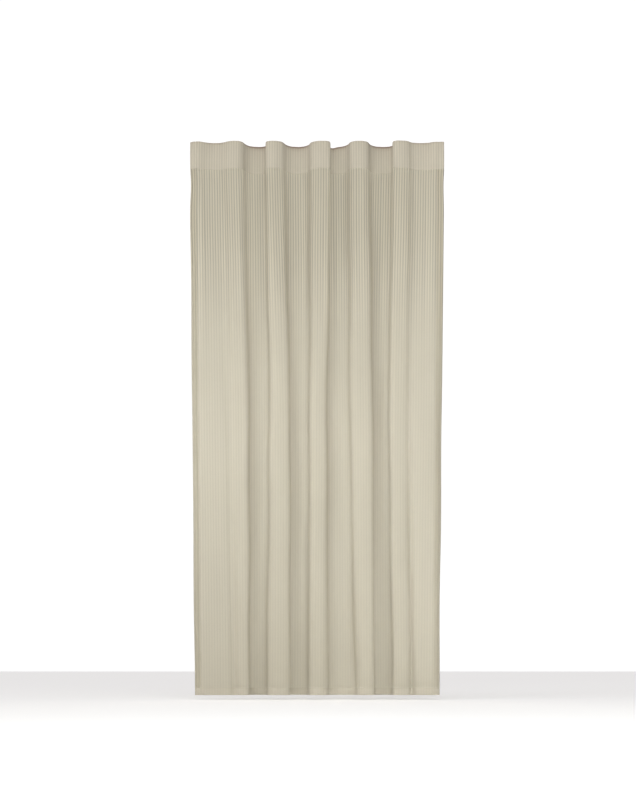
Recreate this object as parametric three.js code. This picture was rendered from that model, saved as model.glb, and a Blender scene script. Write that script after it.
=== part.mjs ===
// A hanging room curtain panel with concealed back loops for a rod.
// Millimetres, +Z up. X runs along the rod, the front of the cloth faces -Y.
// The origin is the middle of the rod's axis. The rod itself is not part of the panel.
import * as THREE from 'three';

// ---- Driving dimensions ----
const flatWidth = 1450;       // finished cloth laid flat, side edge to side edge
const drop = 2500;            // finished length, top edge to bottom edge
const headerAboveRod = 50;    // top edge above the rod's axis
const headingHeight = 130;    // turned-down heading facing
const hemHeight = 32;         // turned-up bottom hem
const sideHemWidth = 30;      // turned-back side hems
const headingFullness = 1.25; // flat width over hung width, along the rod
const hemFullness = 1.368;    // the same along the bottom edge, where the folds close up
const clothThickness = 0.8;   // face cloth
const hemThickness = 1.2;     // two turned layers
const layerGap = 0.3;         // air between neighbouring layers
const threadThickness = 0.6;
const threadWidth = 1.2;
const seamInset = 3;          // stitching line in from a hem's turned edge

const rodRadius = 12.5;
const rodClearance = 1.5;     // cloth and loops stand off the rod by this much
const loopWidth = 50;
const loopThickness = 1.6;
const loopFlap = 12;          // sewn-down end of a loop
const loopFootInset = 9;      // a loop's lower end above the heading's lower edge
const loopBend = 4;           // radius where a loop leaves the cloth
const loopSlack = 6;          // how far a loop at a deep fold bellies out behind the rod
const seatDepth = 12;         // flat top of a loop, where it rests on the rod

const labelWidth = 26;
const labelHeight = 52;
const labelThickness = 0.5;
const labelAboveHem = 90;

// ---- Folds ----
// Where the cloth turns, from the left edge to the right. Each line gives a place along the hung
// width in percent and how far forward it stands, 0 at the rod and 1 at a full fold, first at the
// heading, then at half height, then at the hem. A place that steps back lies under its neighbour.
const folds = [
  [[0, 0.74], [0, 0.8], [0, 0.8]],
  [[3, 1], [2.5, 1], [2, 1]],
  [[7, 0.6], [12, 1], [14, 1]],
  [[12.5, 0.6], [15, 0.85], [16.3, 0.7]],
  [[15.5, 1], [17.5, 1], [18.5, 1]],
  [[20.4, 1], [23, 1], [22.8, 1]],
  [[22.7, 0], [22.6, 0.1], [22, 0.05]],
  [[31, 0], [30.8, 0.15], [29.4, 0.1]],
  [[29, 1], [31, 1], [29.6, 1]],
  [[36.2, 1], [40.2, 1], [40, 1]],
  [[38.5, 0], [38, 0], [37.6, 0]],
  [[46.1, 0], [46.8, 0.1], [46.2, 0]],
  [[48, 1], [47, 1], [46.6, 1]],
  [[56.2, 1], [54.2, 1], [54.5, 1]],
  [[54, 0], [53.8, 0.1], [54.6, 0.15]],
  [[61.4, 0], [62.8, 0.2], [65.2, 0.2]],
  [[63.4, 1], [63.6, 1], [66.4, 1]],
  [[69.9, 1], [73.4, 1], [74.2, 1]],
  [[71.7, 0], [71.4, 0], [72.2, 0]],
  [[80.8, 0], [79.8, 0], [82, 0]],
  [[79, 1.05], [78, 1], [80.2, 1]],
  [[85.4, 1.05], [85, 1], [87.4, 1]],
  [[87.5, 0.6], [86.8, 0.8], [88.8, 0.5]],
  [[93.5, 0.6], [88.5, 1], [90.3, 1]],
  [[96.3, 0.86], [97.4, 1], [98.6, 1]],
  [[100, 0.82], [100, 0.8], [100, 0.8]],
];
// Each loop is sewn between the two turns of one backward fold, named by the first of the two.
const loopFolds = [2, 6, 10, 14, 18, 22];
const foldColumns = 110;      // facets across the cloth between the side hems

// ---- Derived heights and planes ----
const topZ = headerAboveRod;
const hemZ = topZ - drop;
const facingZ = topZ - headingHeight;
const hemTopZ = hemZ + hemHeight;
const middleZ = (facingZ + hemTopZ) / 2;
const loopInner = rodRadius + rodClearance;
const facingBack = clothThickness / 2 + layerGap + hemThickness;
const backFoldY = -loopInner - facingBack;

const layers = {
  face: [-clothThickness / 2, clothThickness / 2],
  backing: [clothThickness / 2 + layerGap, facingBack],
  frontThread: [-clothThickness / 2 - layerGap - threadThickness, -clothThickness / 2 - layerGap],
  label: [facingBack + layerGap, facingBack + layerGap + labelThickness],
};

// ---- The cloth's section at any height ----
function blend(a, b, t) {
  return a + (b - a) * t;
}

// Fold places at height z: constant through the heading and the hem, blended between them.
function foldsAt(z) {
  const t = THREE.MathUtils.clamp((facingZ - z) / (facingZ - hemTopZ), 0, 1);
  const from = t < 0.5 ? 0 : 1;
  const part = t * 2 - from;
  const width = flatWidth / blend(headingFullness, hemFullness, t);
  return folds.map((fold) => ({
    x: (blend(fold[from][0], fold[from + 1][0], part) / 100 - 0.5) * width,
    forward: blend(fold[from][1], fold[from + 1][1], part),
  }));
}

// A smooth line that rounds every fold: it runs through the middle of each stretch.
function sectionPath(places, depth) {
  const points = places.map((place) => new THREE.Vector2(place.x, -place.forward * depth));
  const path = new THREE.Path();
  path.moveTo(points[0].x, points[0].y);
  for (let i = 1; i < points.length - 1; i += 1) {
    const last = i === points.length - 2;
    const end = last ? points[i + 1] : points[i].clone().add(points[i + 1]).multiplyScalar(0.5);
    path.quadraticCurveTo(points[i].x, points[i].y, end.x, end.y);
  }
  path.arcLengthDivisions = 400;
  return path;
}

// The folds stand as deep as the cloth's flat width needs.
function sectionOfFlatWidth(places) {
  let shallow = 0;
  let deep = flatWidth / 4;
  for (let i = 0; i < 30; i += 1) {
    const middle = (shallow + deep) / 2;
    if (sectionPath(places, middle).getLength() < flatWidth) {
      shallow = middle;
    } else {
      deep = middle;
    }
  }
  return sectionPath(places, deep);
}

// Places across the flat cloth, as distances from the left edge.
function flatStations() {
  const edge = [0, 9, 18, sideHemWidth - seamInset - threadWidth, sideHemWidth - seamInset, sideHemWidth];
  const step = (flatWidth - 2 * sideHemWidth) / foldColumns;
  const between = [];
  for (let i = 1; i < foldColumns; i += 1) {
    between.push(sideHemWidth + i * step);
  }
  return [...edge, ...between, ...edge.map((s) => flatWidth - s).reverse()];
}

const stations = flatStations();
const sectionCache = new Map();

// Points of the cloth's middle surface at height z, each with its backward normal.
function sectionAt(z) {
  if (!sectionCache.has(z)) {
    const path = sectionOfFlatWidth(foldsAt(z));
    const points = stations.map((s) => {
      const u = s / flatWidth;
      const at = path.getPointAt(u);
      const along = path.getTangentAt(u);
      return { x: at.x, y: backFoldY + at.y, nx: -along.y, ny: along.x };
    });
    sectionCache.set(z, points);
  }
  return sectionCache.get(z);
}

// ---- Closed sheets that follow the cloth ----
// Covers the stations first to last and the given heights, between two offsets from the cloth.
function sheetGeometry([front, back], first, last, heights) {
  const columns = last - first + 1;
  const rows = heights.length;
  const positions = [];
  for (const offset of [front, back]) {
    for (const z of heights) {
      for (const p of sectionAt(z).slice(first, last + 1)) {
        positions.push(p.x + p.nx * offset, p.y + p.ny * offset, z);
      }
    }
  }
  const at = (side, row, column) => (side * rows + row) * columns + column;
  const indices = [];
  const quad = (a, b, c, d) => indices.push(a, b, c, a, c, d);
  for (let r = 0; r < rows - 1; r += 1) {
    for (let c = 0; c < columns - 1; c += 1) {
      quad(at(0, r, c), at(0, r + 1, c), at(0, r + 1, c + 1), at(0, r, c + 1));
      const back0 = at(1, r, c);
      const back1 = at(1, r + 1, c + 1);
      indices.push(back0, back1, at(1, r + 1, c), back0, at(1, r, c + 1), back1);
    }
    quad(at(0, r, 0), at(1, r, 0), at(1, r + 1, 0), at(0, r + 1, 0));
    const end = columns - 1;
    quad(at(0, r, end), at(0, r + 1, end), at(1, r + 1, end), at(1, r, end));
  }
  for (let c = 0; c < columns - 1; c += 1) {
    quad(at(0, 0, c), at(0, 0, c + 1), at(1, 0, c + 1), at(1, 0, c));
    const low = rows - 1;
    quad(at(0, low, c), at(1, low, c), at(1, low, c + 1), at(0, low, c + 1));
  }
  const geometry = new THREE.BufferGeometry();
  geometry.setAttribute('position', new THREE.Float32BufferAttribute(positions, 3));
  geometry.setIndex(indices);
  geometry.computeVertexNormals();
  return geometry;
}

// ---- Back loops ----
// Middle line of a loop in the YZ plane: flap, flat seat over the rod, round its back, flap.
function loopLine(clothY, slack) {
  const top = loopInner + loopThickness / 2;
  const back = top + slack;
  const low = facingZ + loopFootInset + loopFlap;
  const line = new THREE.Path();
  line.moveTo(clothY, top + loopFlap);
  line.lineTo(clothY, top + loopBend);
  line.quadraticCurveTo(clothY, top, clothY + loopBend, top);
  line.lineTo(seatDepth / 2, top);
  line.quadraticCurveTo(back, top, back, -loopBend);
  line.quadraticCurveTo(back, -loopInner - slack, (clothY + back) / 2, (low - loopInner) / 2);
  line.quadraticCurveTo(clothY, low + loopBend, clothY, low);
  line.lineTo(clothY, low - loopFlap);
  return line;
}

// A strip of even thickness along a line, as a closed outline.
function stripShape(line, thickness) {
  const samples = 30;
  const left = [];
  const right = [];
  for (const u of stripStations(line, samples)) {
    const at = line.getPointAt(u);
    const along = line.getTangentAt(u);
    const side = new THREE.Vector2(-along.y, along.x).multiplyScalar(thickness / 2);
    left.push(at.clone().add(side));
    right.push(at.clone().sub(side));
  }
  return new THREE.Shape([...left, ...right.reverse()]);
}

// Straight parts need only their ends, curves a few points each.
function stripStations(line, samples) {
  const lengths = line.getCurveLengths();
  const total = lengths[lengths.length - 1];
  const stations = new Set([0]);
  line.curves.forEach((curve, i) => {
    const start = i === 0 ? 0 : lengths[i - 1];
    const steps = curve.isLineCurve ? 1 : Math.ceil(samples / line.curves.length);
    for (let k = 1; k <= steps; k += 1) {
      stations.add((start + ((lengths[i] - start) * k) / steps) / total);
    }
  });
  return [...stations];
}

// The backmost point of the heading's backing across a loop's width.
function headingBackY(x) {
  const reach = loopWidth / 2 + 10;
  const behind = sectionAt(0).filter((p) => Math.abs(p.x - x) < reach);
  return Math.max(...behind.map((p) => p.y + p.ny * facingBack));
}

function loopX(fold) {
  const places = foldsAt(0);
  return (places[fold].x + places[fold + 1].x) / 2;
}

function loopGeometry(x) {
  const backingY = headingBackY(x);
  const atRod = backingY > -loopInner - 1;
  const clothY = backingY + layerGap + loopThickness / 2;
  const shape = stripShape(loopLine(clothY, atRod ? loopSlack : 0), loopThickness);
  const geometry = new THREE.ExtrudeGeometry(shape, { depth: loopWidth, bevelEnabled: false });
  const yzToWorld = new THREE.Matrix4().makeBasis(
    new THREE.Vector3(0, 1, 0),
    new THREE.Vector3(0, 0, 1),
    new THREE.Vector3(1, 0, 0),
  );
  geometry.applyMatrix4(yzToWorld);
  geometry.translate(-loopWidth / 2, 0, 0);
  return geometry;
}

// ---- Care label, blank, sewn behind the left side hem ----
function labelGeometry() {
  const low = hemTopZ + labelAboveHem;
  const corner = sectionAt(low);
  const reach = corner.filter((p) => p.x < corner[0].x + labelWidth + 6);
  const backY = Math.max(...reach.map((p) => p.y + p.ny * facingBack)) + layerGap;
  const geometry = new THREE.BoxGeometry(labelWidth, labelThickness, labelHeight);
  geometry.translate(corner[0].x + 2 + labelWidth / 2, backY + labelThickness / 2, low + labelHeight / 2);
  return geometry;
}

// ---- Materials ----
function fabric(color) {
  return new THREE.MeshStandardMaterial({ color, roughness: 0.9, metalness: 0 });
}

const cloth = fabric(0xcac6b5);
const backing = fabric(0xc2baa6);
const thread = fabric(0xb9b19e);
const label = fabric(0xf0eee8);

// ---- Assembly ----
const curtain = new THREE.Group();

function add(name, geometry, material, x = 0) {
  const mesh = new THREE.Mesh(geometry, material);
  mesh.name = name;
  mesh.position.x = x;
  curtain.add(mesh);
}

const lastStation = stations.length - 1;
const sideHemEnd = stations.indexOf(sideHemWidth);
const sideSeamStart = stations.indexOf(sideHemWidth - seamInset - threadWidth);
const quarterHeights = [blend(facingZ, middleZ, 0.5), middleZ, blend(middleZ, hemTopZ, 0.5)];
const bodyHeights = [facingZ, ...quarterHeights, hemTopZ];
const sideHeights = [facingZ - layerGap, ...quarterHeights, hemTopZ + layerGap];
const headingSeam = [facingZ + seamInset + threadWidth, facingZ + seamInset];
const bottomSeam = [hemTopZ - seamInset, hemTopZ - seamInset - threadWidth];

add('face_cloth', sheetGeometry(layers.face, 0, lastStation, [topZ, ...bodyHeights, hemZ]), cloth);
add('heading_facing', sheetGeometry(layers.backing, 0, lastStation, [topZ, facingZ]), backing);
add('bottom_hem', sheetGeometry(layers.backing, 0, lastStation, [hemTopZ, hemZ]), backing);
add('side_hem_left', sheetGeometry(layers.backing, 0, sideHemEnd, sideHeights), backing);
add(
  'side_hem_right',
  sheetGeometry(layers.backing, lastStation - sideHemEnd, lastStation, sideHeights),
  backing,
);
add('heading_stitching', sheetGeometry(layers.frontThread, 0, lastStation, headingSeam), thread);
add('bottom_hem_stitching', sheetGeometry(layers.frontThread, 0, lastStation, bottomSeam), thread);
add(
  'side_stitching_left',
  sheetGeometry(layers.frontThread, sideSeamStart, sideSeamStart + 1, sideHeights),
  thread,
);
add(
  'side_stitching_right',
  sheetGeometry(
    layers.frontThread,
    lastStation - sideSeamStart - 1,
    lastStation - sideSeamStart,
    sideHeights,
  ),
  thread,
);
loopFolds.forEach((fold, i) => {
  const x = loopX(fold);
  add(`rod_loop_${i + 1}`, loopGeometry(x), backing, x);
});
add('care_label', labelGeometry(), label);

export default curtain;
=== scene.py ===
import math

import bpy
import numpy as np
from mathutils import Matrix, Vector

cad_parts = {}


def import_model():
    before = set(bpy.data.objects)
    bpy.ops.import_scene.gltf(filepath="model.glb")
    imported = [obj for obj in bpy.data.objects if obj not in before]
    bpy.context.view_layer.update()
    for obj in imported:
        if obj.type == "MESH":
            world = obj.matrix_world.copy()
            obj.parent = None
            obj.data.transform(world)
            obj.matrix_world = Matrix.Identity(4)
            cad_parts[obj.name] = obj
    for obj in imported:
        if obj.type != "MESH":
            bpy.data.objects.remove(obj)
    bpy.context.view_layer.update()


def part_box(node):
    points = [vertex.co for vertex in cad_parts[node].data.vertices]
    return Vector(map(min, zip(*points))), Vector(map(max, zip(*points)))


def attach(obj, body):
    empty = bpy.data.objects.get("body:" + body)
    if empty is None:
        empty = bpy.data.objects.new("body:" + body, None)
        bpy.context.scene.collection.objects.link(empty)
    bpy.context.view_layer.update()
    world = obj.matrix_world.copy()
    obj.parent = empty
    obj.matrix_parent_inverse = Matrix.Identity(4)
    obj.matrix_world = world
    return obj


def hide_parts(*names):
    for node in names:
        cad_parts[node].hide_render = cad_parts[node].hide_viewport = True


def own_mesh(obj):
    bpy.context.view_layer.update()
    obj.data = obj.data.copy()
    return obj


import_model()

MM = 0.001

# ---- Sizes of the cloth, in metres ----
FLAT_WIDTH = 1.450          # finished cloth laid flat, side edge to side edge
HEADING_FULLNESS = 1.25     # flat width over hung width, along the rod
HEM_FULLNESS = 1.368
FACE_THICKNESS = 0.7 * MM
LAYER_THICKNESS = 0.55 * MM  # one layer of a turned hem
HEM_BACK = 1.9 * MM         # back of a turned hem, behind the middle of the face cloth
OUTER_LAYER = 1.6 * MM      # middle of a hem's outer layer, behind the face cloth
INNER_LAYER = 1.0 * MM      # middle of the edge turned under it
TURN_RADIUS = 0.65 * MM     # where the face cloth turns over at the top and at the bottom
TURN_LENGTH = 7 * MM        # how far the turned face cloth runs before the band joins it
TUCK = 10 * MM              # how much of a band's edge is turned under
LAYER_GAP = 0.3 * MM        # left free at the ends of bands and side hems
SEAM_INSET = 3.6 * MM       # stitching line in from a hem's turned edge
SIDE_HEM = 30 * MM

HEADER_SAG = 4.5 * MM       # top edge lower at a loop than between two loops
DEEP_SAG = 8 * MM           # more of it at the fourth loop
DEEP_SAG_X = 0.068
TOP_ROLL = 4 * MM           # top edge rolls back this far at a loop
ROLL_LENGTH = 3.5 * MM
EDGE_SHADE_WIDTH = 9 * MM          # painted shade along the top edge at a loop: a dark line this wide, for the rolled edge turned from the light
# how far a fainter painted shade reaches below the top edge at a loop
EDGE_SHADE_FADE = 25 * MM
SIDE_ROLL = 1.2 * MM        # side edges roll back this far
EDGE_PULL = 5 * MM          # side edges drawn in just below the stiff heading
EDGE_PULL_Z = -0.155
EDGE_PULL_WIDTH = 0.05

RIB_PITCH = 11.8 * MM
RIB_HEIGHT = 0.2 * MM
COLUMNS_PER_RIB = 4
BAND_COLUMNS_PER_RIB = 2
RIBS_ON_BAND = 0.6          # ribs' height over the stiff heading, as a share
SEAM_PULL, SEAM_PULL_WIDTH = 0.3 * MM, 2.6 * MM      # groove along the heading and hem seams
SIDE_SEAM_PULL, SIDE_SEAM_WIDTH = 1.5 * MM, 3.2 * MM  # groove along the side seams
SIDE_ROLL_LENGTH = 4 * MM
GATHER_HEIGHT = 0.9 * MM    # ripples where the cloth leaves the heading
GATHER_FADE = 0.09
DRIFT_HEIGHT = 1.6 * MM     # slow waves of the hanging cloth
CREASE_S, CREASE_Z = 0.565, -2.03  # middle of a slanting crease low on the cloth
CREASE_HEIGHT = -2.2 * MM

STITCH_PITCH = 3.4 * MM
STITCH_LENGTH = 2.8 * MM
THREAD_WIDTH = 0.55 * MM
THREAD_FLATNESS = 0.84      # a stitch's height over its width
STITCH_TIP = 1.12           # a stitch's tip, where its last ring is at 1

STRAP_THICKNESS = 1.6 * MM
ROD_CLEAR_RADIUS = 14 * MM  # inside of a loop
STRAP_FLAP = 12 * MM
STRAP_BEND = 4 * MM
STRAP_EDGE_ROUND = 1.2 * MM
STRAP_BELLY = 0.5 * MM      # a free strap bulges this much in the middle of its width
SEAT_DEPTH = 12 * MM

# ---- Places that the CAD nodes give ----
face_low, face_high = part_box("face_cloth")
facing_low, facing_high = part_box("heading_facing")
hem_low, hem_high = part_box("bottom_hem")
TOP_Z, HEM_Z = face_high[2], face_low[2]
FACING_Z, HEM_TOP_Z = facing_low[2], hem_high[2]
BACK_FOLD_Y = -ROD_CLEAR_RADIUS - HEM_BACK
HEADING_SEAM_Z = FACING_Z + SEAM_INSET
HEM_SEAM_Z = HEM_TOP_Z - SEAM_INSET

# ---- Folds: place along the hung width in percent and share of the full depth, at the heading,
# ---- at half height and at the hem, from the left edge to the right ----
FOLDS = (
    ((0, 0.74), (0, 0.8), (0, 0.8)),
    ((3, 1), (2.5, 1), (2, 1)),
    ((7, 0.6), (12, 1), (14, 1)),
    ((12.5, 0.6), (15, 0.85), (16.3, 0.7)),
    ((15.5, 1), (17.5, 1), (18.5, 1)),
    ((20.4, 1), (23, 1), (22.8, 1)),
    ((22.7, 0), (22.6, 0.1), (22, 0.05)),
    ((31, 0), (30.8, 0.15), (29.4, 0.1)),
    ((29, 1), (31, 1), (29.6, 1)),
    ((36.2, 1), (40.2, 1), (40, 1)),
    ((38.5, 0), (38, 0), (37.6, 0)),
    ((46.1, 0), (46.8, 0.1), (46.2, 0)),
    ((48, 1), (47, 1), (46.6, 1)),
    ((56.2, 1), (54.2, 1), (54.5, 1)),
    ((54, 0), (53.8, 0.1), (54.6, 0.15)),
    ((61.4, 0), (62.8, 0.2), (65.2, 0.2)),
    ((63.4, 1), (63.6, 1), (66.4, 1)),
    ((69.9, 1), (73.4, 1), (74.2, 1)),
    ((71.7, 0), (71.4, 0), (72.2, 0)),
    ((80.8, 0), (79.8, 0), (82, 0)),
    ((79, 1.05), (78, 1), (80.2, 1)),
    ((85.4, 1.05), (85, 1), (87.4, 1)),
    ((87.5, 0.6), (86.8, 0.8), (88.8, 0.5)),
    ((93.5, 0.6), (88.5, 1), (90.3, 1)),
    ((96.3, 0.86), (97.4, 1), (98.6, 1)),
    ((100, 0.82), (100, 0.8), (100, 0.8)),
)
FOLD_TABLE = np.array(FOLDS, float)  # fold, height, (place, share)


# ---- The cloth's shape ----
def folds_at(z):
    """Fold places at height z, x in metres and the share of the full depth."""
    t = min(max((FACING_Z - z) / (FACING_Z - HEM_TOP_Z), 0), 1)
    key = 0 if t < 0.5 else 1
    part = t * 2 - key
    width = FLAT_WIDTH / (HEADING_FULLNESS + (HEM_FULLNESS - HEADING_FULLNESS) * t)
    mix = FOLD_TABLE[:, key] * (1 - part) + FOLD_TABLE[:, key + 1] * part
    return (mix[:, 0] / 100 - 0.5) * width, mix[:, 1]


BEZIER_STEPS = np.linspace(0, 1, 25)[:, None]


def smooth_line(points):
    """A line that rounds every fold: quadratic curves through the middle of each stretch."""
    start, pieces = points[0], []
    for i in range(1, len(points) - 1):
        last = i == len(points) - 2
        end = points[i + 1] if last else (points[i] + points[i + 1]) / 2
        u = BEZIER_STEPS
        pieces.append((1 - u) ** 2 * start + 2 * u * (1 - u) * points[i] + u**2 * end)
        start = end
    return np.vstack([pieces[0]] + [p[1:] for p in pieces[1:]])


def line_length(line):
    return np.linalg.norm(np.diff(line, axis=0), axis=1).sum()


def section_line(z):
    """The cloth's section at height z: as deep as its flat width needs."""
    x, share = folds_at(z)
    shallow, deep = 0.0, FLAT_WIDTH / 4
    for _ in range(28):
        depth = (shallow + deep) / 2
        line = smooth_line(np.column_stack([x, -share * depth]))
        if line_length(line) < FLAT_WIDTH:
            shallow = depth
        else:
            deep = depth
    return line


sections = {}


def on_section(s, z):
    """Points of the cloth's middle surface at distances s from the left edge, and backward normals."""
    key = round(z, 6)
    if key not in sections:
        line = section_line(z)
        along = np.concatenate([[0], np.cumsum(np.linalg.norm(np.diff(line, axis=0), axis=1))])
        along *= FLAT_WIDTH / along[-1]
        slope = np.gradient(line, along, axis=0)
        slope /= np.linalg.norm(slope, axis=1)[:, None]
        sections[key] = along, line, slope
    along, line, slope = sections[key]
    inside = np.clip(s, 0, FLAT_WIDTH)
    x, y = (np.interp(inside, along, line[:, k]) for k in (0, 1))
    tx, ty = (np.interp(inside, along, slope[:, k]) for k in (0, 1))
    past = s - inside
    x, y = x + tx * past, y + ty * past + BACK_FOLD_Y
    return x, y, -ty, tx


def bump_line(distance, width):
    return np.exp(-((distance / width) ** 2))


def relief(s, z):
    """How far the cloth stands behind its smooth section: ribs, seam pull, ripples and a crease."""
    below = np.maximum(FACING_Z - z, 0)
    band = 1 if z > FACING_Z else 0
    ribs = np.cos(2 * np.pi * s / RIB_PITCH) * RIB_HEIGHT * (RIBS_ON_BAND if band else 1)
    in_from_side = np.minimum(s, FLAT_WIDTH - s)
    at_seam = bump_line(z - HEADING_SEAM_Z, SEAM_PULL_WIDTH) + bump_line(z - HEM_SEAM_Z, SEAM_PULL_WIDTH)
    pull = SEAM_PULL * at_seam
    pull = pull + SIDE_SEAM_PULL * bump_line(in_from_side - SIDE_HEM + SEAM_INSET, SIDE_SEAM_WIDTH)
    pull = pull + SIDE_ROLL * np.exp(-np.maximum(in_from_side, 0) / SIDE_ROLL_LENGTH)
    gather = GATHER_HEIGHT * math.exp(-below / GATHER_FADE) * (0.4 if band else 1)
    ripples = gather * (
        np.sin(2 * np.pi * (s / 0.043 + z * 1.3))
        + 0.7 * np.sin(2 * np.pi * (s / 0.027 - z * 2.1) + 1.1)
    )
    drift = DRIFT_HEIGHT * (
        np.sin(2 * np.pi * (s / 0.31 + z / 0.83) + 0.4)
        + 0.6 * np.sin(2 * np.pi * (s / 0.19 - z / 0.61) + 2.0)
    ) * min(1, below / 0.3)
    crease_s = CREASE_S + 0.055 * (z - CREASE_Z)
    crease = CREASE_HEIGHT * bump_line(s - crease_s, 7 * MM) * bump_line(z - CREASE_Z, 0.08)
    return ribs + pull + ripples + drift + crease


def backness(y):
    """From 0 at the cloth's furthest front to 1 where a loop holds it back on the rod."""
    return np.clip((y - face_low[1]) / (BACK_FOLD_Y - face_low[1]), 0, 1)


def header_sag(x, y, z):
    """How far the heading hangs down where the loops hold it back, more at its lower edge."""
    rise = min(max((z - FACING_Z) / (TOP_Z - FACING_Z), 0), 1)
    fade = math.exp(-max(FACING_Z - z, 0) / 0.15)
    deep = bump_line(x - DEEP_SAG_X, 0.02) * rise
    return fade * backness(y) ** 2 * (HEADER_SAG * (1.8 - 0.8 * rise) + DEEP_SAG * deep)


def cloth_surface(s, z, behind):
    """Points set back from the cloth's middle at distances s and height z, and backward normals."""
    x, y, nx, ny = on_section(s, z)
    roll = TOP_ROLL * (0.06 + 0.94 * backness(y)) * math.exp(min(z - TOP_Z, 0) / ROLL_LENGTH)
    out = behind + relief(s, z) + roll
    inward = np.exp(-s / EDGE_PULL_WIDTH) - 0.7 * np.exp((s - FLAT_WIDTH) / EDGE_PULL_WIDTH)
    x = x + EDGE_PULL * bump_line(z - EDGE_PULL_Z, 0.08) * inward
    points = np.column_stack([x + nx * out, y + ny * out, z - header_sag(x, y, z)])
    return points, np.column_stack([nx, ny, np.zeros(len(nx))])


def cloth_points(columns, rows):
    """Grid of points on the cloth. A column is (s, offset) and a row is (z, offset)."""
    s = np.array([c[0] for c in columns])
    across = np.array([c[1] for c in columns])
    return np.array([cloth_surface(s, z, across + behind)[0] for z, behind in rows])


def cloth_uv(columns, rows):
    """Distances over the flat cloth, in metres, for the weave."""
    def run(places):
        flat = np.array(places)
        steps = np.linalg.norm(np.diff(flat, axis=0), axis=1)
        return np.concatenate([[0], np.cumsum(steps)])

    s = run(columns) + columns[0][0]
    t = rows[0][0] - run(rows)
    return np.array([[(a, b) for a in s] for b in t])


# ---- Meshes ----
def new_object(name, verts, faces, material, uv=None):
    mesh = bpy.data.meshes.new(name)
    verts = np.asarray(verts, np.float32)
    faces = np.asarray(faces, np.int32)
    size = faces.shape[1]
    mesh.vertices.add(len(verts))
    mesh.vertices.foreach_set("co", verts.ravel())
    mesh.loops.add(faces.size)
    mesh.loops.foreach_set("vertex_index", faces.ravel())
    mesh.polygons.add(len(faces))
    mesh.polygons.foreach_set("loop_start", np.arange(0, faces.size, size, dtype=np.int32))
    mesh.polygons.foreach_set("use_smooth", np.ones(len(faces), bool))
    mesh.update(calc_edges=True)
    mesh.validate()
    if uv is not None:
        layer = mesh.uv_layers.new(name="cloth")
        layer.data.foreach_set("uv", np.asarray(uv, np.float32)[faces.ravel()].ravel())
    mesh.materials.append(material)
    obj = bpy.data.objects.new(name, mesh)
    bpy.context.scene.collection.objects.link(obj)
    return obj


def grid_normals(grid):
    down = np.gradient(grid, axis=0)
    across = np.gradient(grid, axis=1)
    normal = np.cross(across, down)
    return normal / np.linalg.norm(normal, axis=2)[..., None]


def slab(name, grid, uv, thickness, material):
    """A closed body of even thickness on both sides of a grid of points."""
    rows, columns = grid.shape[:2]
    half = np.broadcast_to(np.asarray(thickness), (rows, columns))[..., None] / 2
    normal = grid_normals(grid)
    verts = np.concatenate([(grid + normal * half).reshape(-1, 3), (grid - normal * half).reshape(-1, 3)])
    index = np.arange(rows * columns).reshape(rows, columns)
    a, b, c, d = index[:-1, :-1], index[:-1, 1:], index[1:, 1:], index[1:, :-1]
    one_side = np.stack([a, d, c, b], axis=-1).reshape(-1, 4)
    other_side = one_side[:, ::-1] + rows * columns
    rim = np.concatenate([index[0], index[1:, -1], index[-1, -2::-1], index[-2:0:-1, 0]])
    after = np.roll(rim, -1)
    far = rows * columns
    edge = np.stack([rim, after, after + far, rim + far], axis=-1)
    both = np.concatenate([uv.reshape(-1, 2)] * 2)
    return new_object(name, verts, np.concatenate([one_side, other_side, edge]), material, both)


def stitches(name, paths, material):
    """Single stitches along paths of (points, normals): rounded runs of thread lying on the cloth."""
    rings, around = 5, 6
    lengths = np.linspace(-1, 1, rings)
    template = [(-STITCH_TIP, 0, 0)]
    for u in lengths:
        r = math.sqrt(max(1 - (abs(u) * 0.85) ** 2.5, 0.05))
        for k in range(around):
            a = 2 * math.pi * k / around
            template.append((u, r * math.cos(a), r * math.sin(a)))
    template.append((STITCH_TIP, 0, 0))
    template = np.array(template)
    faces = []
    for k in range(around):
        n = (k + 1) % around
        faces.append((0, 1 + n, 1 + k, 1 + k))
        for r in range(rings - 1):
            base = 1 + r * around
            faces.append((base + k, base + n, base + around + n, base + around + k))
        base = 1 + (rings - 1) * around
        faces.append((base + k, base + n, len(template) - 1, len(template) - 1))
    quads = [f for f in faces if f[2] != f[3]]
    tris = [f[:3] for f in faces if f[2] == f[3]]
    verts, quad_faces, tri_faces = [], [], []
    for points, normals in paths:
        along = np.concatenate([[0], np.cumsum(np.linalg.norm(np.diff(points, axis=0), axis=1))])
        count = max(int(along[-1] / STITCH_PITCH), 1)
        middle = (np.arange(count) + 0.5) * along[-1] / count

        def at(values, where):
            return np.column_stack([np.interp(where, along, values[:, k]) for k in range(3)])

        before, after = at(points, middle - STITCH_LENGTH / 2), at(points, middle + STITCH_LENGTH / 2)
        centre, up = (before + after) / 2, at(normals, middle)
        forward = after - before
        forward /= np.linalg.norm(forward, axis=1)[:, None]
        up -= forward * (up * forward).sum(axis=1)[:, None]
        up /= np.linalg.norm(up, axis=1)[:, None]
        right = np.cross(up, forward)
        for i in range(count):
            start = len(verts) * len(template)
            verts.append(
                centre[i]
                + template[:, :1] * forward[i] * STITCH_LENGTH / 2 / STITCH_TIP
                + template[:, 1:2] * right[i] * THREAD_WIDTH / 2
                + template[:, 2:] * up[i] * THREAD_WIDTH / 2 * THREAD_FLATNESS
            )
            quad_faces += [[v + start for v in f] for f in quads]
            tri_faces += [[v + start for v in f] for f in tris]
    verts = np.vstack(verts)
    mesh = bpy.data.meshes.new(name)
    mesh.from_pydata(verts.tolist(), [], quad_faces + tri_faces)
    mesh.polygons.foreach_set("use_smooth", np.ones(len(mesh.polygons), bool))
    mesh.materials.append(material)
    obj = bpy.data.objects.new(name, mesh)
    bpy.context.scene.collection.objects.link(obj)
    return obj


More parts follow.
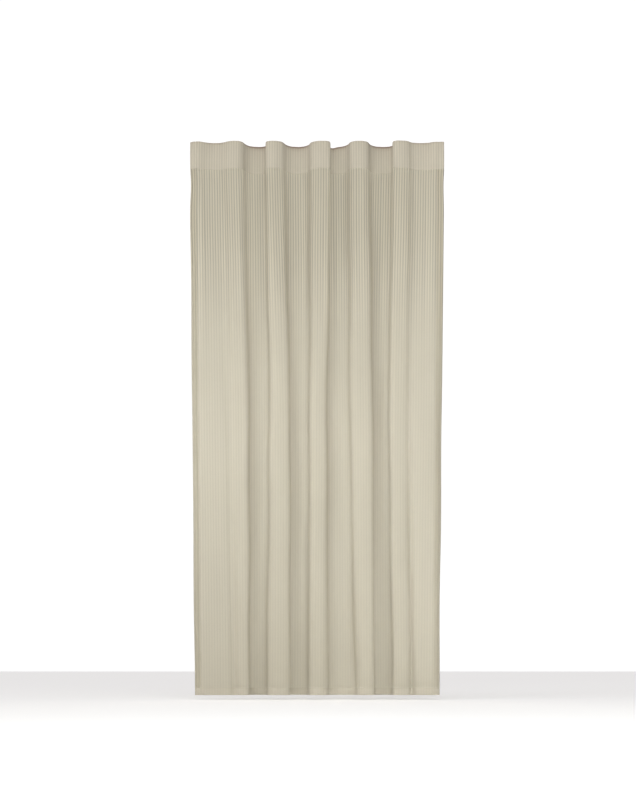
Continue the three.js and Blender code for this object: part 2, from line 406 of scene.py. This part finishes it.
# ---- Materials ----
STREAKS = 0.8               # uneven yarn streaks down the cloth, beside the stripes' 1
STRIPE_HEIGHTS = (-1.0, -0.35)  # down the cloth: below the first, stripes are faint; above the second, full
STRIPE_STRENGTHS = (0.18, 1.0)
DENSITY = 0.41              # how much lighter the dense stripes of the weave are, and the open ones darker
OPENNESS = 0.06             # how much more light the open stripes let through
FACE_COLOR = (0.676, 0.635, 0.518)
HEADING_COLOR = (0.625, 0.577, 0.474)
# face cloth over the hem: darker for the doubled cloth, and partly painted shade for light falling off
# towards the bottom
HEM_COLOR_WITH_SHADE = (0.598, 0.552, 0.448)
BACKING_COLOR = (0.70, 0.634, 0.515)
# colour of the painted shade along the top edge at a loop, where the rolled edge turns from the light
TOP_EDGE_SHADE_COLOR = (0.26, 0.17, 0.125)
THROUGH_COLOR = (0.80, 0.78, 0.722)
SLUB_TONE, BLOTCH_TONE, WEAVE_TONE = 0.24, 0.12, 0.02


def node(tree, kind, **values):
    made = tree.nodes.new(kind)
    for key, value in values.items():
        setattr(made, key, value)
    return made


def math_node(tree, operation, a, b=None):
    made = node(tree, "ShaderNodeMath", operation=operation)
    for socket, value in zip(made.inputs, (a, b)):
        if value is None:
            continue
        if isinstance(value, (int, float)):
            socket.default_value = value
        else:
            tree.links.new(value, socket)
    return made.outputs[0]


def weighted_sum(tree, parts):
    """Adds up sockets, each times its own number."""
    total = None
    for socket, weight in parts:
        part = math_node(tree, "MULTIPLY", socket, weight)
        total = part if total is None else math_node(tree, "ADD", total, part)
    return total


def noise(tree, vector, scale, detail=2.0):
    """Noise from 0 to 1 with its own scale along each direction of the cloth."""
    spread = node(tree, "ShaderNodeVectorMath", operation="MULTIPLY")
    spread.inputs[1].default_value = (*scale, 1)
    tree.links.new(vector, spread.inputs[0])
    made = node(tree, "ShaderNodeTexNoise")
    made.inputs["Scale"].default_value = 1
    made.inputs["Detail"].default_value = detail
    tree.links.new(spread.outputs[0], made.inputs["Vector"])
    return made.outputs["Fac"]


def smooth_step(tree, value, start, end, low, high):
    """Goes smoothly from low to high as value goes from start to end."""
    made = node(tree, "ShaderNodeMapRange", interpolation_type="SMOOTHSTEP")
    for k, number in enumerate((start, end, low, high), 1):
        made.inputs[k].default_value = number
    tree.links.new(value, made.inputs[0])
    return made.outputs[0]


def ramp(tree, factor, dark, light, low=0.0, high=1.0):
    made = node(tree, "ShaderNodeValToRGB")
    made.color_ramp.elements[0].position = low
    made.color_ramp.elements[0].color = (*dark, 1)
    made.color_ramp.elements[1].position = high
    made.color_ramp.elements[1].color = (*light, 1)
    tree.links.new(factor, made.inputs[0])
    return made.outputs[0]


def scaled(color, k):
    return tuple(min(c * k, 1) for c in color)


def woven(name, color, through, share, rib_contrast, yarn=1.1 * MM, painted_edge_shade=False):
    """Thin ribbed linen-like cloth: yarn reflects, and light from behind passes between the yarns.

    share is how much of the cloth lets light through, and rib_contrast how strongly stripes show."""
    material = bpy.data.materials.new(name)
    material.use_nodes = True
    tree = material.node_tree
    tree.nodes.clear()
    cloth = node(tree, "ShaderNodeUVMap", uv_map="cloth").outputs[0]
    parts = node(tree, "ShaderNodeSeparateXYZ")
    tree.links.new(cloth, parts.inputs[0])
    s, t = parts.outputs[0], parts.outputs[1]

    wander = math_node(tree, "MULTIPLY", noise(tree, cloth, (6, 1.5)), 2.4)
    turns = math_node(tree, "MULTIPLY", s, 2 * math.pi / RIB_PITCH)
    rib = math_node(tree, "COSINE", math_node(tree, "ADD", turns, wander))
    rib = math_node(tree, "ADD", math_node(tree, "MULTIPLY", rib, -0.5), 0.5)

    warp_yarn = math_node(tree, "COSINE", math_node(tree, "MULTIPLY", s, 2 * math.pi / yarn))
    weft_yarn = math_node(tree, "COSINE", math_node(tree, "MULTIPLY", t, 2 * math.pi / (yarn * 1.15)))
    weave = math_node(tree, "MULTIPLY", warp_yarn, weft_yarn)
    slub_down = noise(tree, cloth, (620, 14), 2.0)
    slub_across = noise(tree, cloth, (14, 620), 2.0)
    slub = weighted_sum(tree, ((slub_down, 0.55), (slub_across, 0.45)))
    blotch = noise(tree, cloth, (4, 2.5), 3.0)
    streak = noise(tree, cloth, (70, 0.7), 1.0)
    stripes = math_node(tree, "ADD", rib, math_node(tree, "MULTIPLY", streak, STREAKS))
    stripes = math_node(tree, "SUBTRACT", stripes, 0.5 + STREAKS / 2)
    strength = smooth_step(tree, t, *STRIPE_HEIGHTS, *STRIPE_STRENGTHS)
    stripes = math_node(tree, "MULTIPLY", stripes, strength)

    tone = math_node(tree, "ADD", math_node(tree, "MULTIPLY", stripes, rib_contrast), 0.5)
    for part, amount in ((slub, SLUB_TONE), (blotch, BLOTCH_TONE), (weave, WEAVE_TONE)):
        around = math_node(tree, "MULTIPLY", math_node(tree, "SUBTRACT", part, 0.5), amount)
        tone = math_node(tree, "ADD", around, tone)
    base = ramp(tree, tone, scaled(color, 1 - DENSITY), scaled(color, 1 + DENSITY))
    light = ramp(tree, tone, scaled(through, 1 + OPENNESS), scaled(through, 1 - OPENNESS))
    # painted shade along the top edge: a mesh attribute mixes the colour towards a dark brown
    if painted_edge_shade:
        edge = node(tree, "ShaderNodeMix", data_type="RGBA")
        edge.inputs[7].default_value = (*TOP_EDGE_SHADE_COLOR, 1)
        crease = node(tree, "ShaderNodeAttribute", attribute_name="top_edge_painted_shade").outputs["Fac"]
        tree.links.new(crease, edge.inputs[0])
        tree.links.new(base, edge.inputs[6])
        base = edge.outputs[2]

    height = weighted_sum(tree, ((weave, 0.35), (slub, 0.9), (rib, 1.2)))
    bump = node(tree, "ShaderNodeBump")
    bump.inputs["Strength"].default_value = 0.35
    bump.inputs["Distance"].default_value = 0.25 * MM
    tree.links.new(height, bump.inputs["Height"])

    yarn_shader = node(tree, "ShaderNodeBsdfPrincipled")
    yarn_shader.inputs["Sheen Weight"].default_value = 0.12
    yarn_shader.inputs["Sheen Roughness"].default_value = 0.55
    yarn_shader.inputs["Specular IOR Level"].default_value = 0.25
    tree.links.new(base, yarn_shader.inputs["Base Color"])
    tree.links.new(ramp(tree, slub, (0.82,) * 3, (0.94,) * 3), yarn_shader.inputs["Roughness"])
    tree.links.new(bump.outputs[0], yarn_shader.inputs["Normal"])
    open_weave = node(tree, "ShaderNodeBsdfTranslucent")
    tree.links.new(light, open_weave.inputs["Color"])
    tree.links.new(bump.outputs[0], open_weave.inputs["Normal"])
    mix = node(tree, "ShaderNodeMixShader")
    mix.inputs[0].default_value = share
    tree.links.new(yarn_shader.outputs[0], mix.inputs[1])
    tree.links.new(open_weave.outputs[0], mix.inputs[2])
    out = node(tree, "ShaderNodeOutputMaterial")
    tree.links.new(mix.outputs[0], out.inputs[0])
    return material


def sewing_thread(name, color):
    """Sewing thread: fine uneven plies and a little sheen."""
    material = bpy.data.materials.new(name)
    material.use_nodes = True
    tree = material.node_tree
    shader = tree.nodes["Principled BSDF"]
    place = node(tree, "ShaderNodeTexCoord").outputs["Object"]
    plies = noise(tree, place, (2600, 2600), 1.0)
    tone = ramp(tree, plies, scaled(color, 0.85), scaled(color, 1.1), 0.3, 0.7)
    tree.links.new(tone, shader.inputs["Base Color"])
    bump = node(tree, "ShaderNodeBump")
    bump.inputs["Strength"].default_value = 0.4
    bump.inputs["Distance"].default_value = 0.1 * MM
    tree.links.new(plies, bump.inputs["Height"])
    tree.links.new(bump.outputs[0], shader.inputs["Normal"])
    shader.inputs["Roughness"].default_value = 0.6
    shader.inputs["Sheen Weight"].default_value = 0.2
    return material


face_material = woven("face_weave", FACE_COLOR, THROUGH_COLOR, 0.55, 1.2)
# the heading's weave carries the painted shade along the top edge
heading_material = woven("face_weave_on_heading", HEADING_COLOR, THROUGH_COLOR, 0.25, 0.27, painted_edge_shade=True)
# the hem's weave is darker, partly as painted shade towards the bottom
hem_material_with_shade = woven("face_weave_on_hem_with_shade", HEM_COLOR_WITH_SHADE, THROUGH_COLOR, 0.25, 0.4)
backing_material = woven("backing_weave", BACKING_COLOR, THROUGH_COLOR, 0.2, 0.6)
strap_material = woven("strap_weave", scaled(BACKING_COLOR, 0.96), THROUGH_COLOR, 0.1, 0.05, 0.9 * MM)
thread_material = sewing_thread("sewing_thread", scaled(BACKING_COLOR, 0.95))
label_material = woven("label_satin", (0.82, 0.81, 0.78), (0.8, 0.8, 0.78), 0.2, 0.0, 0.5 * MM)

# ---- Rows and columns of the cloth ----
def heights(*spans):
    """Heights from spans of (start, end, step), each height once."""
    out = []
    for start, end, step in spans:
        count = max(1, round(abs(start - end) / step))
        out += [start + (end - start) * k / count for k in range(count)]
    return out + [spans[-1][1]]


def turn(z, direction):
    """Rows that turn the face cloth over backwards at height z: up and over, or down and under."""
    rows = []
    for k in range(5):
        a = math.pi * k / 4
        rows.append((z + direction * TURN_RADIUS * math.sin(a), TURN_RADIUS * (1 - math.cos(a))))
    return rows + [(z - direction * TURN_LENGTH, 2 * TURN_RADIUS)]


turn_top = TOP_Z - TURN_RADIUS - FACE_THICKNESS / 2
turn_low = HEM_Z + TURN_RADIUS + FACE_THICKNESS / 2
face_heights = heights(
    (turn_top - 2 * MM, turn_top - 12 * MM, 2 * MM),
    (turn_top - 12 * MM, HEADING_SEAM_Z + 6 * MM, 14 * MM),
    (HEADING_SEAM_Z + 6 * MM, HEADING_SEAM_Z - 6 * MM, 3 * MM),
    (HEADING_SEAM_Z - 6 * MM, FACING_Z - 0.12, 16 * MM),
    (FACING_Z - 0.12, FACING_Z - 0.33, 30 * MM),
    (FACING_Z - 0.33, HEM_SEAM_Z + 0.05, 48 * MM),
    (HEM_SEAM_Z + 0.05, HEM_SEAM_Z + 6 * MM, 22 * MM),
    (HEM_SEAM_Z + 6 * MM, HEM_SEAM_Z - 6 * MM, 3 * MM),
    (HEM_SEAM_Z - 6 * MM, turn_low + 2 * MM, 10 * MM),
)
face_rows = turn(turn_top, 1)[::-1] + [(z, 0.0) for z in face_heights] + turn(turn_low, -1)
rib_count = round(FLAT_WIDTH / RIB_PITCH)
band_steps = rib_count * BAND_COLUMNS_PER_RIB
face_columns = [(s, 0.0) for s in np.linspace(0, FLAT_WIDTH, rib_count * COLUMNS_PER_RIB + 1)]
band_columns = [(s, 0.0) for s in np.linspace(LAYER_GAP, FLAT_WIDTH - LAYER_GAP, band_steps + 1)]


def band_rows(start, end):
    """Rows of a band behind the cloth, from where it joins the turn to its tucked-in edge."""
    back = 1 if start > end else -1
    mid = (OUTER_LAYER + INNER_LAYER) / 2
    radius = (OUTER_LAYER - INNER_LAYER) / 2
    edge = end + back * (radius + LAYER_THICKNESS / 2)
    body = heights((start - back * 4 * MM, edge + back * 2 * MM, 14 * MM))
    rows = [(start, 2 * TURN_RADIUS)] + [(z, OUTER_LAYER) for z in body] + [(edge, OUTER_LAYER)]
    rows += [(edge - back * radius, mid), (edge, INNER_LAYER)]
    return rows + [(edge + back * TUCK / 2, INNER_LAYER), (edge + back * TUCK, INNER_LAYER)]


def side_columns(mirror):
    """Columns of a side hem: it wraps the cloth's edge, runs back and is tucked in."""
    middle = (OUTER_LAYER + INNER_LAYER) / 2
    wrap = [
        (-0.29 * MM, 0.0),
        (-0.29 * MM, 0.5 * MM),
        (-0.2 * MM, 1.05 * MM),
        (0.1 * MM, 1.45 * MM),
        (0.8 * MM, OUTER_LAYER),
    ]
    run = [(s, OUTER_LAYER) for s in np.linspace(4 * MM, SIDE_HEM - 1 * MM, 9)]
    tuck = [
        (SIDE_HEM - 0.6 * MM, OUTER_LAYER),
        (SIDE_HEM - 0.3 * MM, middle),
        (SIDE_HEM - 0.6 * MM, INNER_LAYER),
        (SIDE_HEM - TUCK / 2, INNER_LAYER),
        (SIDE_HEM - TUCK, INNER_LAYER),
    ]
    columns = wrap + run + tuck
    return [(FLAT_WIDTH - s, o) for s, o in columns][::-1] if mirror else columns


def cloth_piece(name, columns, rows, thickness, material):
    return slab(name, cloth_points(columns, rows), cloth_uv(columns, rows), thickness, material)


def dress_doubled_cloth(piece, columns, rows):
    """The cloth looks denser where a turned heading or hem lies behind it; the hem's darker colour is also
    painted shade towards the bottom.
    """
    piece.data.materials.append(heading_material)
    piece.data.materials.append(hem_material_with_shade)
    z = np.array([row[0] for row in rows])
    z = (z[1:] + z[:-1]) / 2
    one_side = np.repeat(np.where(z > FACING_Z, 1, np.where(z < HEM_TOP_Z, 2, 0)), len(columns) - 1)
    index = np.zeros(len(piece.data.polygons), np.int32)
    index[:2 * len(one_side)] = np.tile(one_side, 2)
    piece.data.polygons.foreach_set("material_index", index)


def paint_top_edge_shade(piece, columns, rows):
    """Painted shade along the top edge where a loop holds the heading back: a dark line at the rolled edge
    and a fainter shade below it.
    """
    y = cloth_points(columns, rows)[..., 1]
    at_loop = backness(y) ** 1.5
    below = np.array([[TOP_Z - row[0]] for row in rows])
    # painted shade: strong in a narrow line at the edge, fainter further down
    dark = 0.95 * bump_line(below, EDGE_SHADE_WIDTH) + 0.28 * np.exp(-below / EDGE_SHADE_FADE)
    crease = np.minimum(at_loop * dark, 1)
    layer = piece.data.attributes.new("top_edge_painted_shade", "FLOAT", "POINT")
    layer.data.foreach_set("value", np.tile(crease.ravel(), 2).astype(np.float32))


cloth = cloth_piece("curtain_cloth", face_columns, face_rows, FACE_THICKNESS, face_material)
dress_doubled_cloth(cloth, face_columns, face_rows)
paint_top_edge_shade(cloth, face_columns, face_rows)
heading_rows = band_rows(turn_top - TURN_LENGTH, FACING_Z)
hem_rows = band_rows(turn_low + TURN_LENGTH, HEM_TOP_Z)
heading_band = cloth_piece("heading_band", band_columns, heading_rows, LAYER_THICKNESS, backing_material)
hem_band = cloth_piece("hem_band", band_columns, hem_rows, LAYER_THICKNESS, backing_material)
side_heights = heights(
    (FACING_Z - LAYER_GAP, FACING_Z - 0.3, 20 * MM),
    (FACING_Z - 0.3, HEM_TOP_Z + LAYER_GAP, 40 * MM),
)
side_rows = [(z, 0.0) for z in side_heights]
left_hem = cloth_piece("left_edge_hem", side_columns(False), side_rows, LAYER_THICKNESS, backing_material)
right_hem = cloth_piece("right_edge_hem", side_columns(True), side_rows, LAYER_THICKNESS, backing_material)


# ---- Stitching ----
THREAD_BACK = -FACE_THICKNESS / 2 - 0.05 * MM  # a thread's middle, behind the cloth's middle


def across_path(z):
    """A seam across the cloth at height z, on its front."""
    s = np.linspace(1.5 * MM, FLAT_WIDTH - 1.5 * MM, 1200)
    points, backward = cloth_surface(s, z, THREAD_BACK)
    return points, -backward


def down_path(s, top, low):
    """A seam down the cloth at distance s from the left edge, on its front."""
    runs = [cloth_surface(np.array([s]), z, THREAD_BACK) for z in np.linspace(top, low, 120)]
    return np.vstack([points for points, _ in runs]), -np.vstack([backward for _, backward in runs])


heading_stitches = stitches("heading_stitches", [across_path(HEADING_SEAM_Z)], thread_material)
hem_stitches = stitches("hem_stitches", [across_path(HEM_SEAM_Z)], thread_material)
side_seam = SIDE_HEM - SEAM_INSET
left_stitches = stitches("left_edge_stitches", [down_path(side_seam, FACING_Z, HEM_TOP_Z)], thread_material)
right_stitches = stitches(
    "right_edge_stitches", [down_path(FLAT_WIDTH - side_seam, FACING_Z, HEM_TOP_Z)], thread_material
)


# ---- Loops behind the heading ----
def back_of_heading(x):
    """The heading's back face at places x along the rod, where the cloth stands furthest back."""
    s = np.linspace(0, FLAT_WIDTH, 2400)
    cx, cy, nx, ny = on_section(s, 0.0)
    px, py = cx + nx * HEM_BACK, cy + ny * HEM_BACK
    return np.array([py[np.abs(px - at) < 1.5 * MM].max() for at in x])


def strap_line(cloth_y, back_y, low):
    """A loop's middle line in the YZ plane: flap, seat on the rod, round its back, flap."""
    top = ROD_CLEAR_RADIUS + STRAP_THICKNESS / 2
    corners = (
        ((cloth_y, top + STRAP_FLAP), None, (cloth_y, top + STRAP_BEND)),
        ((cloth_y, top + STRAP_BEND), (cloth_y, top), (cloth_y + STRAP_BEND, top)),
        ((cloth_y + STRAP_BEND, top), None, (SEAT_DEPTH / 2, top)),
        ((SEAT_DEPTH / 2, top), (back_y, top), (back_y, -STRAP_BEND)),
        (
            (back_y, -STRAP_BEND),
            (back_y, -back_y + STRAP_THICKNESS / 2),
            ((cloth_y + back_y) / 2, (low - ROD_CLEAR_RADIUS) / 2),
        ),
        (((cloth_y + back_y) / 2, (low - ROD_CLEAR_RADIUS) / 2), (cloth_y, low + STRAP_BEND), (cloth_y, low)),
        ((cloth_y, low), None, (cloth_y, low - STRAP_FLAP)),
    )
    line = []
    for start, pull, end in corners:
        start, end = np.array(start), np.array(end)
        pull = (start + end) / 2 if pull is None else np.array(pull)
        u = np.linspace(0, 1, 9)[:-1, None]
        line.append((1 - u) ** 2 * start + 2 * u * (1 - u) * pull + u**2 * end)
    return np.vstack(line + [np.array(corners[-1][2])])


def loop_strap(k):
    low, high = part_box(f"rod_loop_{k}")
    middle, width = (low[0] + high[0]) / 2, high[0] - low[0]
    line = strap_line(low[1] + STRAP_THICKNESS / 2, high[1] - STRAP_THICKNESS / 2, low[2] + STRAP_FLAP)
    along = np.concatenate([[0], np.cumsum(np.linalg.norm(np.diff(line, axis=0), axis=1))])
    across = np.concatenate([[-1, -0.985, -0.95], np.linspace(-0.85, 0.85, 11), [0.95, 0.985, 1]]) * width / 2
    x = middle + across
    behind = back_of_heading(x)
    drop_back = behind - behind.max()
    grid, uv = [], []
    for (y, z), run in zip(line, along):
        sewn = bump_line(max(0, min(run, along[-1] - run) - STRAP_FLAP), 4 * MM)
        belly = STRAP_BELLY * (1 - sewn) * np.cos(across / width * math.pi)
        grid.append(np.column_stack([x, y + drop_back * sewn + belly, np.full(len(x), z)]))
        uv.append(np.column_stack([across + 0.1 * k, np.full(len(x), run)]))
    past_round = np.clip((np.abs(across) - width / 2 + STRAP_EDGE_ROUND) / STRAP_EDGE_ROUND, 0, 1)
    thickness = STRAP_THICKNESS * 0.92 * np.sqrt(np.clip(1 - past_round**2, 0.06, 1))
    strap = slab(f"loop_strap_{k}", np.array(grid), np.array(uv), thickness, strap_material)

    tacks = []
    for top_z, low_z in ((high[2] - 2 * MM, high[2] - 9 * MM), (low[2] + 9 * MM, low[2] + 2 * MM)):
        side = width / 2 - 4 * MM
        corners = [(-side, top_z), (side, top_z), (side, low_z), (-side, low_z), (-side, top_z)]
        for (a, za), (b, zb) in zip(corners[:-1], corners[1:]):
            u = np.linspace(0, 1, 24)
            px = middle + a + (b - a) * u
            py = low[1] + STRAP_THICKNESS * 0.97 + np.interp(px, x, drop_back)
            points = np.column_stack([px, py, za + (zb - za) * u])
            tacks.append((points, np.tile((0.0, 1.0, 0.0), (len(u), 1))))
    return strap, stitches(f"loop_tacks_{k}", tacks, thread_material)


loop_parts = [loop_strap(k) for k in range(1, 7)]


# ---- Care label, blank ----
def care_tag():
    low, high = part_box("care_label")
    rows, columns = 14, 9
    u, v = np.meshgrid(np.linspace(0, 1, columns), np.linspace(0, 1, rows))
    curl = 1.6 * MM * v**3 + 0.5 * MM * np.sin(math.pi * u) * v
    x = low[0] + (high[0] - low[0]) * u
    y = (low[1] + high[1]) / 2 + curl
    z = high[2] - (high[2] - low[2]) * v
    uv = np.stack([x, z], axis=-1)
    return slab("care_tag", np.stack([x, y, z], axis=-1), uv, 0.35 * MM, label_material)


tag = care_tag()

# ---- Bodies that the pieces are attached to ----
for piece, replaced, slot in (
    (cloth, "face_cloth", "face_fabric"),
    (heading_band, "heading_facing", "backing_fabric"),
    (hem_band, "bottom_hem", "backing_fabric"),
    (heading_stitches, "heading_stitching", "thread"),
    (hem_stitches, "bottom_hem_stitching", "thread"),
    (left_hem, "side_hem_left", "backing_fabric"),
    (left_stitches, "side_stitching_left", "thread"),
    (tag, "care_label", "label_fabric"),
):
    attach(piece, "curtain")
    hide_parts(replaced)
for piece, replaced, slot in (
    (right_hem, "side_hem_right", "backing_fabric"),
    (right_stitches, "side_stitching_right", "thread"),
):
    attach(piece, "leading_edge")
    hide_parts(replaced)
for k, (strap, tacks) in enumerate(loop_parts, 1):
    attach(strap, f"loop_{k}")
    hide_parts(f"rod_loop_{k}")
    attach(tacks, f"loop_{k}")

for piece in (cloth, heading_band, hem_band, heading_stitches, hem_stitches):
    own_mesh(piece)
for piece in (left_hem, left_stitches, tag):
    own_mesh(piece)
for piece in (right_hem, right_stitches):
    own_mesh(piece)

# ---- Floor, light and camera ----
FLOOR_Z = HEM_Z - 0.02
FLOOR_REACH = 40            # far enough that its edge isn't seen past the panel
FRONT_FILL, BACK_FILL, OVERHEAD_SHARE = 1.04, 0.40, 0.7
LEFT_SHARE, RIGHT_SHARE = 1.4, 0.6
FILL_COLOR = (1, 0.97, 0.965)
BACK_COLOR = (0.90, 0.86, 0.95)


def floor():
    mesh = bpy.data.meshes.new("floor")
    corners = [(x * FLOOR_REACH, y * FLOOR_REACH, FLOOR_Z) for x, y in ((-1, -1), (1, -1), (1, 1), (-1, 1))]
    mesh.from_pydata(corners, [], [(0, 1, 2, 3)])
    material = bpy.data.materials.new("pale_floor")
    material.use_nodes = True
    shader = material.node_tree.nodes["Principled BSDF"]
    shader.inputs["Base Color"].default_value = (0.9, 0.9, 0.9, 1)
    shader.inputs["Roughness"].default_value = 1.0
    shader.inputs["Specular IOR Level"].default_value = 0.0
    shader.inputs["Emission Color"].default_value = (1, 1, 1, 1)
    seen = node(material.node_tree, "ShaderNodeLightPath").outputs["Is Camera Ray"]
    glow = math_node(material.node_tree, "ADD", math_node(material.node_tree, "MULTIPLY", seen, 0.2), 0.1)
    material.node_tree.links.new(glow, shader.inputs["Emission Strength"])
    mesh.materials.append(material)
    obj = bpy.data.objects.new("floor", mesh)
    bpy.context.scene.collection.objects.link(obj)


def area_light(name, place, aim, size, watts, color=(1, 1, 1), spread=180):
    data = bpy.data.lights.new(name, "AREA")
    data.shape = "RECTANGLE"
    data.size, data.size_y = size
    data.energy = watts
    data.color = color
    data.spread = math.radians(spread)
    obj = bpy.data.objects.new(name, data)
    obj.location = place
    direction = np.array(aim, float) - np.array(place, float)
    obj.rotation_euler = Vector(direction).to_track_quat("-Z", "Y").to_euler()
    obj.visible_camera = False
    bpy.context.scene.collection.objects.link(obj)
    return obj


def world():
    """White to look at. Its light comes more from the front and the left than from elsewhere."""
    made = bpy.data.worlds.new("studio")
    made.use_nodes = True
    tree = made.node_tree
    tree.nodes.clear()
    seen = node(tree, "ShaderNodeBackground")
    seen.inputs[0].default_value = (1, 1, 1, 1)
    seen.inputs[1].default_value = 1.05
    direction = node(tree, "ShaderNodeSeparateXYZ")
    tree.links.new(node(tree, "ShaderNodeTexCoord").outputs["Generated"], direction.inputs[0])
    level = smooth_step(tree, direction.outputs[1], -0.4, 0.4, FRONT_FILL, BACK_FILL)
    overhead = smooth_step(tree, direction.outputs[2], 0.15, 0.75, 1, OVERHEAD_SHARE)
    level = math_node(tree, "MULTIPLY", level, overhead)
    sides = smooth_step(tree, direction.outputs[0], -0.7, 0.7, LEFT_SHARE, RIGHT_SHARE)
    level = math_node(tree, "MULTIPLY", level, sides)
    fill = node(tree, "ShaderNodeBackground")
    fill.inputs[0].default_value = (*FILL_COLOR, 1)
    tree.links.new(level, fill.inputs[1])
    pick = node(tree, "ShaderNodeMixShader")
    tree.links.new(node(tree, "ShaderNodeLightPath").outputs["Is Camera Ray"], pick.inputs[0])
    tree.links.new(fill.outputs[0], pick.inputs[1])
    tree.links.new(seen.outputs[0], pick.inputs[2])
    tree.links.new(pick.outputs[0], node(tree, "ShaderNodeOutputWorld").inputs[0])
    bpy.context.scene.world = made


floor()
world()
bpy.context.scene.view_settings.view_transform = "Standard"
area_light("key", (0.4, -5.3, -1.5), (0, 0, -1.4), (2.2, 4.2), 135, (0.96, 1, 0.96))
area_light("side", (-2.4, -3.2, -1.3), (0, 0, -1.35), (2.2, 1.1), 2.9, (0.90, 0.96, 1), 32)
area_light("low_right", (1.9, -3.4, -2.1), (0.5, 0, -2.2), (0.8, 0.6), 0.55, (0.95, 0.97, 1), 22)
area_light("back_upper", (0, 1.6, -1.0), (0, 0, -1.0), (1.5, 0.95), 0.9, BACK_COLOR, 18)
area_light("back_lower", (0, 1.6, -1.7), (0, 0, -1.7), (1.6, 1.1), 1.4, BACK_COLOR, 40)

CAMERA_HEIGHT = HEM_Z + 0.12
CAMERA_DISTANCE = 6.0
CLOTH_MIDDLE_Y = -0.05
CAMERA_PITCH = 7.36
camera_data = bpy.data.cameras.new("camera")
camera_data.lens = 61.5
camera_data.sensor_width = 36
camera_data.shift_y = 0.1133
camera = bpy.data.objects.new("camera", camera_data)
camera.location = (0.0045, CLOTH_MIDDLE_Y - CAMERA_DISTANCE, CAMERA_HEIGHT)
camera.rotation_euler = (math.radians(90 + CAMERA_PITCH), 0, 0)
bpy.context.scene.collection.objects.link(camera)
bpy.context.scene.camera = camera
